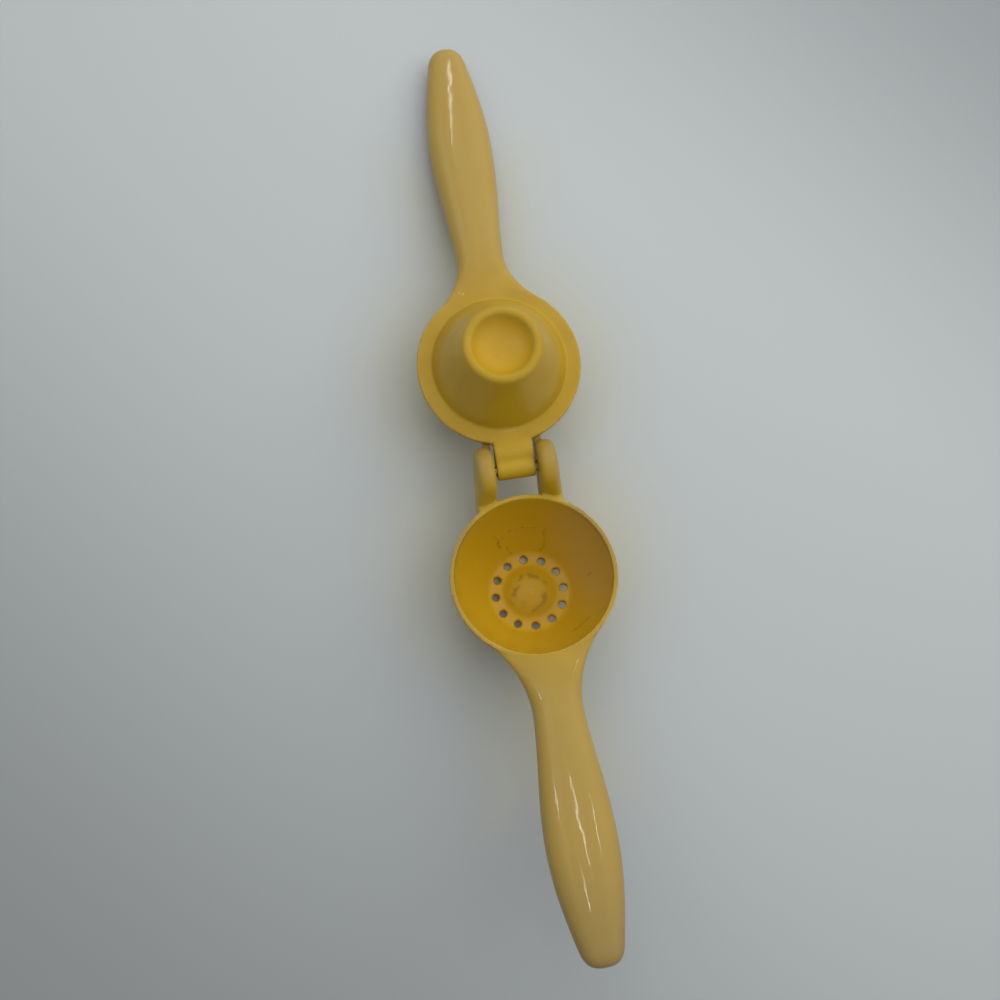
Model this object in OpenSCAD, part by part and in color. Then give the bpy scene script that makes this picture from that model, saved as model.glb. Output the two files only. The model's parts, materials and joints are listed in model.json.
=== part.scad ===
// Hinged lemon squeezer: two cast arms on one steel pin.
//
// Each arm is drawn closed, in the frame of the bowl's rim: the rim's face is the plane z = 0, the bowl's
// axis is the Z axis, the hinge lies along +Y and both handles point along -Y.  The squeezer is then shown
// laid open on a table, standing on the bowl's foot and on the belly of the press arm's handle.

/* [Rim] */
// Outside diameter of the bowl's rim and of the press flange
rim_d = 70; // [64:1:80]
// Width of the flat face on top of the rim
rim_land = 1.8; // [1.2:0.2:2.4]
// Gap between the rim and the flange when the arms are closed
seat_gap = 0.3; // [0.2:0.1:1]

/* [Bowl] */
// Depth of the drain floor below the rim
bowl_depth = 31.3; // [28.5:0.1:36]
// Wall thickness of the bowl at the side
bowl_wall = 3; // [2.4:0.2:4]
// Thickness of the drain floor
floor_t = 3.2; // [2.6:0.2:5]
// Diameter of the bowl's inside where the wall meets the floor
floor_d = 37; // [35:0.5:40]
// Size of the rounding between wall and floor
floor_round = 1.3; // [0.8:0.1:2]
// How far the side wall bulges outwards between rim and floor
wall_bulge = 2; // [1:0.25:3]
// Diameter of the raised mound in the middle of the floor
mound_d = 24.4; // [20:0.2:25]
// Height of the mound above the floor
mound_h = 4; // [2:0.5:5]
// Diameter of the flat foot under the bowl
foot_d = 31; // [26:1:33]
// Radius between the foot and the side wall
foot_round = 6; // [4:0.5:7]

/* [Drain holes] */
// Number of drain holes
drain_count = 12; // [6:1:14]
// Diameter of each drain hole
drain_d = 3.5; // [2.5:0.1:4]
// Diameter of the circle of drain holes
drain_circle_d = 30.4; // [29:0.2:31]

/* [Press] */
// Diameter of the press where it meets the flange
press_base_d = 57.4; // [54:0.2:59]
// Height of the press's lip above the flange
press_h = 26; // [24:0.5:27]
// Diameter of the crest of the lip
lip_d = 28.4; // [27:0.2:29]
// Radius of the rounded lip
lip_r = 2.6; // [2.2:0.1:3]
// How far inside the lip's crest the dimple begins
dimple_in = 1.9; // [1:0.1:2.4]
// Depth of the dimple below the lip
dimple_depth = 6.5; // [4:0.5:8]
// Wall thickness of the hollow press
press_wall = 3; // [2.4:0.2:4]
// Thickness of the flange
flange_t = 3.5; // [3:0.25:4.5]
// Size of the broken edges of the flange
flange_edge = 0.6; // [0.3:0.1:1]

/* [Hinge] */
// Distance from the rim's edge to the pin
pin_out = 10; // [10:0.5:15]
// Height of the pin above the rim's face
pin_z = 5.5; // [5:0.25:7]
// Diameter of the pin
pin_d = 4; // [3:0.25:5]
// Radial clearance of the pin in the press arm's tab
pin_clear = 0.06; // [0.02:0.01:0.1]
// How far the peened ends of the pin stand out of the ears
pin_end = 0.5; // [0.3:0.1:1]
// Width of the press arm's tab
tab_w = 16.5; // [14:0.5:20]
// Length of the tab's face that is flush with the flange
tab_flat = 3; // [1:0.5:5]
// Radius of the tab's round end about the pin
barrel_r = 4.2; // [4:0.1:5]
// Gap between the tab and each ear
ear_gap = 1.1; // [0.4:0.1:1.5]
// Thickness of each ear
ear_t = 7.8; // [7:0.2:9]
// Radius of the ears about the pin
ear_r = 10.7; // [9.5:0.1:10.9]
// Rounding of the ears' edges
ear_round = 2.8; // [1.5:0.1:3.2]
// Height of the ears' roots on the bowl's wall
ear_root_h = 13; // [9:0.5:16]
// How much wider each ear is at its root, on the outer side
ear_flare = 1.4; // [0:0.2:2]
// How far the rim's face reaches out over the ears' roots
ear_pad = 1.4; // [0.8:0.2:2]
// Width of the stop under the flange at each ear
stop_w = 3.2; // [2.6:0.2:6]
// How far the stop reaches under the flange
stop_reach = 2.6; // [1.5:0.1:4]
// Thickness of the stop's end
stop_t = 3; // [2:0.5:4]
// Gap left at the stop when the arms are open
stop_gap = 0.2; // [0.1:0.1:0.6]
// Angle through which the press arm opens
open_angle = 171.3; // [165:0.1:176]

/* [Handles] */
// Distance from the bowl's axis to the tip of each handle
handle_len = 152.3; // [140:0.1:175]
// Angle from the crosswise line at which the bowl arm's web leaves the rim
bowl_web_angle = 47; // [42:1:50]
// Angle from the crosswise line at which the press arm's web leaves the flange
press_web_angle = 52; // [44:1:54]
// Thickness of the webs where they run into the rim and the flange
web_t = 3.2; // [2.5:0.1:3.5]
// Width of the neck
neck_w = 20.6; // [18:0.2:24]
// Thickness of the neck
neck_t = 13; // [10:0.5:15]
// Width of the grip at its widest
grip_w = 28.2; // [25:0.2:32]
// Thickness of the grip at its thickest
grip_t = 17.8; // [15:0.2:22]
// Width of the handle just before its round tip
tip_w = 13.6; // [12:0.2:20]
// Thickness of the handle just before its round tip
tip_t = 12; // [9:0.5:14]
// Length of the round tip
tip_round = 7.5; // [5:0.5:9]
// How far each handle leans away from the other, in degrees
handle_lean = 1.4; // [0:0.1:4]

/* [Hidden] */
$fn = 96;

casting_colour = [0.80, 0.62, 0.16];
steel_colour = [0.72, 0.72, 0.74];

rim_r = rim_d / 2;
bowl_mouth_r = rim_r - rim_land;
bowl_h = bowl_depth + floor_t;
foot_r = foot_d / 2;
pin_r = pin_d / 2;
pin_y = rim_r + pin_out; // distance from the bowl's axis to the pin
ear_in = tab_w / 2 + ear_gap;
ear_out = ear_in + ear_t;
flange_back = seat_gap + flange_t;
web_drop = 0.15;         // the cast web lies a little under the machined rim
cut = 1;                 // how far a cutting shape runs past a face
hull_fn = 32;            // steps round the shapes that a hull joins

// ---- round stretches of an outline ----

// Points on an arc about c, from angle a to angle b, in equal steps.
function arc(c, r, a, b, steps = 8) =
    [for (i = [0:steps]) let (t = a + (b - a) * i / steps) c + r * [cos(t), sin(t)]];

// Points on the shallow arc from p down to q that bulges outwards, away from the Z axis.
function bulged(p, q, bulge, steps = 12) =
    let (
        chord = norm(q - p),
        r = (chord * chord / 4 + bulge * bulge) / (2 * bulge),
        along = (q - p) / chord,
        inward = [along.y, -along.x],
        c = (p + q) / 2 + inward * (r - bulge),
        half = asin(chord / 2 / r),
        mid = atan2(-inward.y, -inward.x)
    )
    arc(c, r, mid + half, mid - half, steps);

// A smooth step: 0 at u = 0 and 1 at u = 1, level at both ends.
function ease(u) = (1 - cos(180 * max(0, min(1, u)))) / 2;

// ---- the handles: their size at distance s from the bowl's axis, for a web of angle a ----

grip_place = 0.52;       // where the grip is widest, as a share of the way from neck to tip
waist = 6;               // the grip begins to widen this far before the web's arc ends
web_square = 3.6;        // exponent of the section in the web, nearly a rectangle
grip_square = 2.9;       // exponent of the section in the grip, nearer to an ellipse

// The web flows into the neck along an arc that leaves the rim at the angle a.
function web_arc_r(a) = (rim_r * cos(a) - neck_w / 2) / (1 - cos(a));
function web_s(a) = rim_r * sin(a);
function neck_s(a) = (rim_r + web_arc_r(a)) * sin(a);
function grip_s(a) = neck_s(a) + (handle_len - neck_s(a)) * grip_place;
round_s = handle_len - tip_round;

// How far s lies along the grip's fading towards the tip: 1 at its widest, 0 at the tip.
function fade(s, a) = cos(90 * (s - grip_s(a)) / (handle_len - grip_s(a)));
function web_half_w(s, a) =
    neck_w / 2 + web_arc_r(a) - sqrt(pow(web_arc_r(a), 2) - pow(neck_s(a) - s, 2));
function grip_half_w(s, a) =
    let (start = neck_s(a) - waist)
    neck_w / 2 + (grip_w - neck_w) / 2 * ease((s - start) / (grip_s(a) - start));
function half_w(s, a) =
    s < grip_s(a) ? max(web_half_w(min(s, neck_s(a)), a), grip_half_w(s, a)) :
    tip_w / 2 + (grip_w - tip_w) / 2 * fade(s, a);
function thick(s, a) =
    s < neck_s(a) ? web_t + (neck_t - web_t) * ease((s - web_s(a)) / (neck_s(a) - web_s(a))) :
    s < grip_s(a) ? neck_t + (grip_t - neck_t) * ease((s - neck_s(a)) / (grip_s(a) - neck_s(a))) :
    tip_t + (grip_t - tip_t) * fade(s, a);
// Depth of the handle's inner face below the parting plane.
function face_v(s, a) = web_drop + max(0, s - neck_s(a)) * tan(handle_lean);
function squareness(s, a) =
    web_square + (grip_square - web_square) * ease((s - web_s(a)) / (grip_s(a) - web_s(a)));
// Share of the full section that is left at s, in the round tip.
function tip_share(s) = s < round_s ? 1 : sqrt(max(0, 1 - pow((s - round_s) / tip_round, 2)));

handle_steps = 22;
tip_steps = 5;
around = 24;
function stations(a) = concat(
    [for (i = [0:handle_steps]) web_s(a) + (round_s - web_s(a)) * i / handle_steps],
    [for (i = [1:tip_steps]) round_s + tip_round * sin(90 * i / (tip_steps + 1))]
);

// One point of the handle's section at s, as [across, along, depth].
function section_point(s, a, t) =
    let (
        p = 2 / squareness(s, a),
        share = tip_share(s),
        u = half_w(s, a) * share * sign(cos(t)) * pow(abs(cos(t)), p),
        v = face_v(s, a) + thick(s, a) / 2 * (1 - share * sign(sin(t)) * pow(abs(sin(t)), p))
    )
    [u, -s, v];
function tip_point(a) = [0, -handle_len, face_v(handle_len, a) + thick(handle_len, a) / 2];

// Outline of the handle in the plane x = 0, as [y, depth]. Its section has a facet, not an edge, on its face
// (at t = 90) and on its back (at t = 270), so that the handle rests flat.
half_step = 180 / around;
function side_line(a) = concat(
    [for (s = stations(a), t = [90 + half_step, 270 + half_step])
        let (p = section_point(s, a, t)) [p.y, p.z]],
    [[tip_point(a).y, tip_point(a).z]]
);

// The handle lies below the plane z = 0 and points along -Y.
module handle(a) {
    rings = len(stations(a));
    points = concat(
        [for (s = stations(a), i = [0:around - 1])
            let (p = section_point(s, a, half_step + 360 * i / around)) [p.x, p.y, -p.z]],
        [[tip_point(a).x, tip_point(a).y, -tip_point(a).z]]
    );
    last_ring = (rings - 1) * around;
    faces = concat(
        [[for (i = [0:around - 1]) i]],
        [for (k = [0:rings - 2], i = [0:around - 1])
            let (p = k * around + i, q = k * around + (i + 1) % around)
            [p, q + around, q]],
        [for (k = [0:rings - 2], i = [0:around - 1])
            let (p = k * around + i, q = k * around + (i + 1) % around)
            [p, p + around, q + around]],
        [for (i = [0:around - 1]) [last_ring + i, rings * around, last_ring + (i + 1) % around]]
    );
    polyhedron(points = points, faces = faces, convexity = 4);
}

// ---- how the open squeezer stands ----

// Where a point [y, z] of the closed press arm goes when the arm opens.
function opened(p) =
    let (d = p - [pin_y, pin_z])
    [pin_y, pin_z] + [d.x * cos(open_angle) + d.y * sin(open_angle),
                      -d.x * sin(open_angle) + d.y * cos(open_angle)];
bowl_line = [for (p = side_line(bowl_web_angle)) [p.x, -p.y]];
press_line = [for (p = side_line(press_web_angle)) opened([p.x, seat_gap + p.y])];
foot_centre = [foot_r, -bowl_h + foot_round];
// Slope at which the table would touch both the bowl's foot and the point p.
function table_slope(p) =
    let (d = p - foot_centre)
    atan2(d.y, d.x) + asin(foot_round / norm(d));
rest_tilt = min([for (p = press_line) table_slope(p)]);
// Where a point [y, z] of the rim's frame goes on the table, before it is centred.
function on_table(p) =
    [p.x * cos(rest_tilt) + p.y * sin(rest_tilt), -p.x * sin(rest_tilt) + p.y * cos(rest_tilt)];
front_y = min([for (p = bowl_line) on_table(p).x]);
rear_y = max([for (p = press_line) on_table(p).x]);
shift_y = -(front_y + rear_y) / 2;
lift_z = foot_round - on_table(foot_centre).y;

// Sets the bowl arm's frame down on the table.
module stand() {
    translate([0, shift_y, lift_z])
        rotate([-rest_tilt, 0, 0])
            children();
}

// Turns its children about the pin, from closed towards open.
module swing(angle) {
    translate([0, pin_y, pin_z])
        rotate([-angle, 0, 0])
            translate([0, -pin_y, -pin_z])
                children();
}

// Turns a shape's Z axis onto the pin's axis.
module at_pin(x) {
    translate([x, pin_y, pin_z])
        rotate([0, 90, 0])
            children();
}

// ---- the bowl arm ----

wall_foot = [floor_d / 2, -bowl_depth + floor_round];
side_in = bulged([bowl_mouth_r, 0], wall_foot, wall_bulge);

// Inside of the bowl, with the drain floor and its mound.
module bowl_cavity() {
    mound_r = mound_d / 2;
    mound_curve = (mound_r * mound_r + mound_h * mound_h) / (2 * mound_h);
    mound_half = asin(mound_r / mound_curve);
    rotate_extrude()
        polygon(concat(
            [[0, cut], [bowl_mouth_r, cut]],
            side_in,
            [[wall_foot.x - floor_round, -bowl_depth]],
            arc([0, -bowl_depth + mound_h - mound_curve], mound_curve, 90 - mound_half, 90)
        ));
}

// Outside of the bowl, closed at the top: a straight band under the rim, then the wall, then the foot.
module bowl_body() {
    foot_side = 64;      // how far the foot's rounding turns up into the side wall
    rotate_extrude()
        polygon(concat(
            [[0, 0], [rim_r, 0]],
            [for (p = side_in) if (p.y < -rim_land && p.y > foot_centre.y) [min(rim_r, p.x + bowl_wall), p.y]],
            arc(foot_centre, foot_round, -90 + foot_side, -90),
            [[0, -bowl_h]]
        ));
}

module drain_holes() {
    for (i = [0:drain_count - 1])
        rotate(90 + 360 * i / drain_count)
            translate([drain_circle_d / 2, 0, -bowl_h - cut])
                cylinder(d = drain_d, h = floor_t + mound_h + 2 * cut);
}

// A disc with round edges about the pin, from the ear's inner face to its outer face.
module ear_disc() {
    edge_steps = 4;
    at_pin(ear_in)
        rotate_extrude($fn = hull_fn)
            polygon(concat(
                [[0, 0]],
                arc([ear_r - ear_round, ear_round], ear_round, -90, 0, edge_steps),
                arc([ear_r - ear_round, ear_t - ear_round], ear_round, 0, 90, edge_steps),
                [[0, ear_t]]
            ));
}

// One upright edge of the ear's root, round at both ends.
module root_edge(x, y) {
    for (z = [-ear_round, -ear_root_h + ear_round])
        translate([x, y, z])
            sphere(r = ear_round, $fn = hull_fn / 2);
}

// One ear: its root grows out of the bowl's wall, below the rim's face, and the ear then rises round the pin.
module ear() {
    root_x = [ear_in + ear_round, ear_out - ear_round + ear_flare];
    root_y = pin_y - ear_r + ear_round;
    hull() {
        ear_disc();
        for (x = root_x) root_edge(x, root_y);
    }
    hull()
        for (x = root_x) {
            root_edge(x, root_y);
            root_edge(x, sqrt(rim_r * rim_r - x * x));
        }
    ear_root();
    ear_stop();
}

// The flat top of the ear's root, which carries on the rim's face.
module ear_root() {
    root_h = ear_root_h - ear_round;
    intersection() {
        translate([0, 0, -root_h])
            cylinder(r = rim_r + ear_pad, h = root_h);
        translate([ear_in, 0, -root_h])
            cube([ear_t + ear_flare, rim_r + ear_pad, root_h]);
    }
}

// The stop: a heel under the ear's end, on which the back of the flange lands when the arm is open.
module ear_stop() {
    edge_y = sqrt(rim_r * rim_r - ear_in * ear_in);
    heel_drop = ear_r / 2;
    heel_r = (ear_r - ear_round) / 2;
    hull() {
        swing(open_angle)
            translate([ear_in, edge_y - stop_reach, flange_back + stop_gap])
                cube([stop_w, stop_reach, stop_t]);
        translate([0, 0, -heel_drop])
            at_pin(ear_in)
                cylinder(r = heel_r, h = stop_w, $fn = hull_fn);
    }
}

module pin_bore(r) {
    at_pin(-ear_out - cut)
        cylinder(r = r, h = 2 * (ear_out + cut));
}

module bowl_arm() {
    color(casting_colour)
        stand()
            difference() {
                union() {
                    bowl_body();
                    handle(bowl_web_angle);
                    ear();
                    mirror([1, 0, 0]) ear();
                }
                bowl_cavity();
                drain_holes();
                pin_bore(pin_r);
            }
}

// ---- the press arm ----

press_foot = [press_base_d / 2, 0];
lip_centre = [lip_d / 2, press_h - lip_r];
foot_to_lip = lip_centre - press_foot;
// Angle between the press's side and its axis.
cone_angle = atan2(-foot_to_lip.x, foot_to_lip.y) - asin(lip_r / norm(foot_to_lip));
dimple_side = acos(-dimple_in / lip_r);

// The press: a cone that stands on the flange, with a round lip and a dimple for the bowl's mound.
module press_body() {
    dimple_edge = lip_centre + lip_r * [cos(dimple_side), sin(dimple_side)];
    dimple_floor = press_h - dimple_depth;
    sag = dimple_edge.y - dimple_floor;
    dimple_curve = (dimple_edge.x * dimple_edge.x + sag * sag) / (2 * sag);
    dimple_half = asin(dimple_edge.x / dimple_curve);
    rotate_extrude()
        polygon(concat(
            [[0, -flange_t / 2], [press_foot.x, -flange_t / 2], press_foot],
            arc(lip_centre, lip_r, cone_angle, dimple_side),
            arc([0, dimple_floor + dimple_curve], dimple_curve, -90 + dimple_half, -90)
        ));
}

// The hollow back of the press.
module press_hollow() {
    inner_top = press_h - dimple_depth - press_wall;
    mouth_r = press_foot.x - press_wall / cos(cone_angle);
    mouth_z = -flange_t - neck_t;
    rotate_extrude()
        polygon([
            [0, mouth_z], [mouth_r, mouth_z], [mouth_r, 0],
            [mouth_r - inner_top * tan(cone_angle), inner_top], [0, inner_top]
        ]);
}

module flange() {
    rotate_extrude()
        polygon([
            [0, 0], [rim_r - flange_edge, 0], [rim_r, -flange_edge],
            [rim_r, flange_edge - flange_t], [rim_r - flange_edge, -flange_t], [0, -flange_t]
        ]);
}

// The tab: flush with the flange's face at first, it dips to a barrel about the pin.
module tab() {
    start_y = rim_r - flange_t;
    flat_y = rim_r + tab_flat;
    translate([-tab_w / 2, 0, 0])
        rotate([90, 0, 90])
            linear_extrude(tab_w)
                union() {
                    polygon([
                        [start_y, seat_gap], [flat_y, seat_gap],
                        [pin_y, pin_z - barrel_r], [pin_y, pin_z + barrel_r],
                        [flat_y, pin_z + barrel_r / 2], [start_y, flange_back]
                    ]);
                    translate([pin_y, pin_z]) circle(r = barrel_r);
                }
}

module press_arm() {
    color(casting_colour)
        stand() swing(open_angle)
            difference() {
                union() {
                    translate([0, 0, seat_gap])
                        mirror([0, 0, 1]) {
                            flange();
                            press_body();
                            handle(press_web_angle);
                        }
                    tab();
                }
                translate([0, 0, seat_gap]) mirror([0, 0, 1]) press_hollow();
                pin_bore(pin_r + pin_clear);
            }
}

// ---- the pin ----

// A plain steel pin, peened to a low dome at both ends.
module hinge_pin() {
    half = ear_out + pin_end;
    crown_r = pin_r / 2;
    color(steel_colour)
        stand()
            at_pin(0)
                rotate_extrude()
                    polygon([
                        [0, -half], [crown_r, -half], [pin_r, -half + pin_end],
                        [pin_r, half - pin_end], [crown_r, half], [0, half]
                    ]);
}

bowl_arm();
press_arm();
hinge_pin();
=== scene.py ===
"""The dressed model of a hinged lemon squeezer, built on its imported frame.

Two castings in mustard enamel turn on one steel pin.  Each casting is put together from plain solids,
which are fused into one skin, softened as thick enamel softens them, and then coloured.  The castings are
shaped in millimetres, each in a frame of its own: the face of the rim or the flange is the plane z = 0, the
handle points along -Y, and the bowl hangs below that plane while the press stands above it.  They are laid
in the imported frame, in metres, once they are whole.
"""

import json
import logging
import math
from dataclasses import dataclass, field
from enum import Enum
from typing import Callable, ClassVar, Iterable, Sequence

import bmesh
import bpy
from mathutils import Euler, Matrix, Vector, noise


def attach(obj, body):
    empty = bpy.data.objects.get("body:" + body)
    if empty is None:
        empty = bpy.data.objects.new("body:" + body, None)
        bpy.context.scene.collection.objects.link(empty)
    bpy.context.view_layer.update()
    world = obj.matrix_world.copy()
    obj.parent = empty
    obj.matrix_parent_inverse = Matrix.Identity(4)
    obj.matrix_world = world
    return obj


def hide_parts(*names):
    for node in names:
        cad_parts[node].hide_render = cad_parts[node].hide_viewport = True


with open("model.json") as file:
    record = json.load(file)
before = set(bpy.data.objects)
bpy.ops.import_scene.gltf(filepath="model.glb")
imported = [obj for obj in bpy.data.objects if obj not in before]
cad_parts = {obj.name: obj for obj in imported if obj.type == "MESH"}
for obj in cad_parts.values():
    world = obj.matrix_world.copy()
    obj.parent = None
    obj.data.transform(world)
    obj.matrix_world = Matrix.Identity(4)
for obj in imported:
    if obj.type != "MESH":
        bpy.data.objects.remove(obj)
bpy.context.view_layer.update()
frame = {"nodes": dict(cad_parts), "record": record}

LOG = logging.getLogger("lemon_squeezer")
MM = 0.001
CREST = "crest"
BUMP_STRENGTH = 0.3

Colour = tuple[float, float, float, float]
Place = tuple[float, float, float]
Piece = bpy.types.Object
Tree = bpy.types.NodeTree
Node = bpy.types.Node
Socket = bpy.types.NodeSocket
BMesh = bmesh.types.BMesh
BMVert = bmesh.types.BMVert


def ease(share: float) -> float:
    """A smooth step from 0 to 1, level at both ends."""
    return (1 - math.cos(math.pi * max(0.0, min(1.0, share)))) / 2


def power(value: float, exponent: float) -> float:
    """The value raised to the exponent, with its sign kept."""
    return math.copysign(abs(value) ** exponent, value)


def paint(red: int, green: int, blue: int) -> Colour:
    """A display colour, given as 0 to 255, as the linear colour that shaders take."""
    def channel(value: int) -> float:
        """One channel made linear."""
        share = value / 255
        return share / 12.92 if share <= 0.04045 else ((share + 0.055) / 1.055) ** 2.4
    return (channel(red), channel(green), channel(blue), 1.0)


# ---- where the pieces lie ----


@dataclass(frozen=True)
class Layout:
    """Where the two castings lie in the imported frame.

    Attributes:
        pin: The middle of the hinge pin, in metres.
        tilt: Angle by which the bowl's rim slopes down towards the hinge, in radians.
        opening: Angle between the closed and the open press arm, in radians.
        pin_arm: The pin's place in the bowl's own frame, in millimetres.
    """

    pin: Vector
    tilt: float
    opening: float
    pin_arm: Vector

    @classmethod
    def from_record(cls, record: dict, pin_arm: Vector) -> "Layout":
        """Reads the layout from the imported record: its joint and the slope of its foot."""
        joint = record["behaviour"]["joints"][0]
        foot = next(mount for mount in record["mounts"] if mount["name"] == "foot")
        tilt = math.atan2(-foot["axis"][1], -foot["axis"][2])
        return cls(Vector(joint["pos_m"]), tilt, math.radians(joint["range_deg"][1]), pin_arm)

    def swing(self) -> Matrix:
        """Turns the closed press arm about the pin until it is open, in the bowl's own frame."""
        turn = Matrix.Rotation(-self.opening, 4, "X")
        return Matrix.Translation(self.pin_arm) @ turn @ Matrix.Translation(-self.pin_arm)

    def bowl_matrix(self) -> Matrix:
        """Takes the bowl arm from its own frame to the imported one."""
        turn = Matrix.Rotation(-self.tilt, 4, "X")
        return Matrix.Translation(self.pin) @ turn @ Matrix.Scale(MM, 4) @ Matrix.Translation(-self.pin_arm)

    @staticmethod
    def upside_down(seat_gap: float) -> Matrix:
        """Turns the press over, between the frame in which it points up and that of the closed squeezer."""
        return Matrix.Translation((0, 0, seat_gap)) @ Matrix.Scale(-1, 4, (0, 0, 1))

    def press_matrix(self, seat_gap: float) -> Matrix:
        """Takes the press arm from its own frame, where the press points up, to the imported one."""
        return self.bowl_matrix() @ self.swing() @ self.upside_down(seat_gap)


# ---- finishes ----


class NodeSheet:
    """Adds nodes to a tree and links them.

    Attributes:
        numbers: The vector operations whose result is a number.
        tree: The tree.
    """

    numbers: ClassVar[tuple[str, ...]] = ("DISTANCE", "DOT_PRODUCT", "LENGTH")

    def __init__(self, tree: Tree) -> None:
        """Takes the tree that the nodes go to."""
        self.tree = tree

    def feed(self, node: Node, name: str | int, value: object) -> None:
        """Sets one input to a value, or links a socket to it."""
        if isinstance(value, Socket):
            self.tree.links.new(value, node.inputs[name])
        else:
            node.inputs[name].default_value = value

    def fill(self, node: Node, **inputs: object) -> Node:
        """Sets a node's inputs by name, with spaces written as underscores, and returns the node."""
        for name, value in inputs.items():
            self.feed(node, name.replace("_", " "), value)
        return node

    def add(self, kind: str, **inputs: object) -> Node:
        """Adds a node, sets its inputs by name and returns it."""
        return self.fill(self.tree.nodes.new(kind), **inputs)

    def group(self, tree: Tree, **inputs: object) -> Socket:
        """Places a shader node group, sets its inputs and returns its one output."""
        node = self.add("ShaderNodeGroup")
        node.node_tree = tree
        return self.fill(node, **inputs).outputs[0]

    def operate(self, kind: str, operation: str, values: Sequence[object]) -> Node:
        """Adds a node that does one operation on the values, and returns it."""
        node = self.add(kind)
        node.operation = operation
        for i, value in enumerate(values):
            self.feed(node, i, value)
        return node

    def math(self, operation: str, *values: object) -> Socket:
        """Adds a Math node and returns its result."""
        return self.operate("ShaderNodeMath", operation, values).outputs[0]

    def vector(self, operation: str, *values: object) -> Socket:
        """Adds a Vector Math node and returns its result, which is a number or a vector."""
        node = self.operate("ShaderNodeVectorMath", operation, values)
        return node.outputs["Value" if operation in self.numbers else "Vector"]

    def noise(self, where: object, scale: object, detail: object) -> Socket:
        """Adds a Noise Texture node and returns its mask."""
        return self.add("ShaderNodeTexNoise", Vector=where, Scale=scale, Detail=detail).outputs["Fac"]

    def axes(self, vector: object) -> Sequence[Socket]:
        """Takes a vector apart and returns its three numbers."""
        return self.add("ShaderNodeSeparateXYZ", Vector=vector).outputs

    def blend(self, share: object, first: object, second: object) -> Socket:
        """Mixes two colours and returns the result."""
        node = self.add("ShaderNodeMix")
        node.data_type = "RGBA"
        for i, value in ((0, share), (6, first), (7, second)):
            self.feed(node, i, value)
        return node.outputs[2]

    def span(self, value: object, low: object, high: object, to_low: object, to_high: object) -> Socket:
        """Maps a range smoothly to another and returns the result."""
        node = self.add("ShaderNodeMapRange")
        node.interpolation_type = "SMOOTHSTEP"
        self.fill(node, Value=value, From_Min=low, From_Max=high, To_Min=to_low, To_Max=to_high)
        return node.outputs[0]


def shader_group(output: str, **inputs: float | None) -> Callable[[Callable], Callable[[], Tree]]:
    """Makes a function that fills a shader node group into one that gives the group.

    Args:
        output: The name of the group's one output.
        inputs: Its inputs, with spaces written as underscores: a number's default, or None for a vector.

    Returns:
        What does that to a function, which takes the group's sheet and inputs and returns what goes out.
    """
    def wrap(fill: Callable[[NodeSheet, dict], Socket]) -> Callable[[], Tree]:
        """Wraps the function that fills the group."""
        def fetch() -> Tree:
            """The group, built on first use."""
            tree = bpy.data.node_groups.get(fill.__name__)
            if tree is not None:
                return tree
            tree = bpy.data.node_groups.new(fill.__name__, "ShaderNodeTree")
            for name, value in inputs.items():
                kind = "NodeSocketVector" if value is None else "NodeSocketFloat"
                socket = tree.interface.new_socket(name.replace("_", " "), in_out="INPUT", socket_type=kind)
                if value is not None:
                    socket.default_value = value
            tree.interface.new_socket(output, in_out="OUTPUT", socket_type="NodeSocketFloat")
            sheet = NodeSheet(tree)
            result = fill(sheet, tree.nodes.new("NodeGroupInput").outputs)
            sheet.feed(tree.nodes.new("NodeGroupOutput"), output, result)
            return tree
        return fetch
    return wrap


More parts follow.
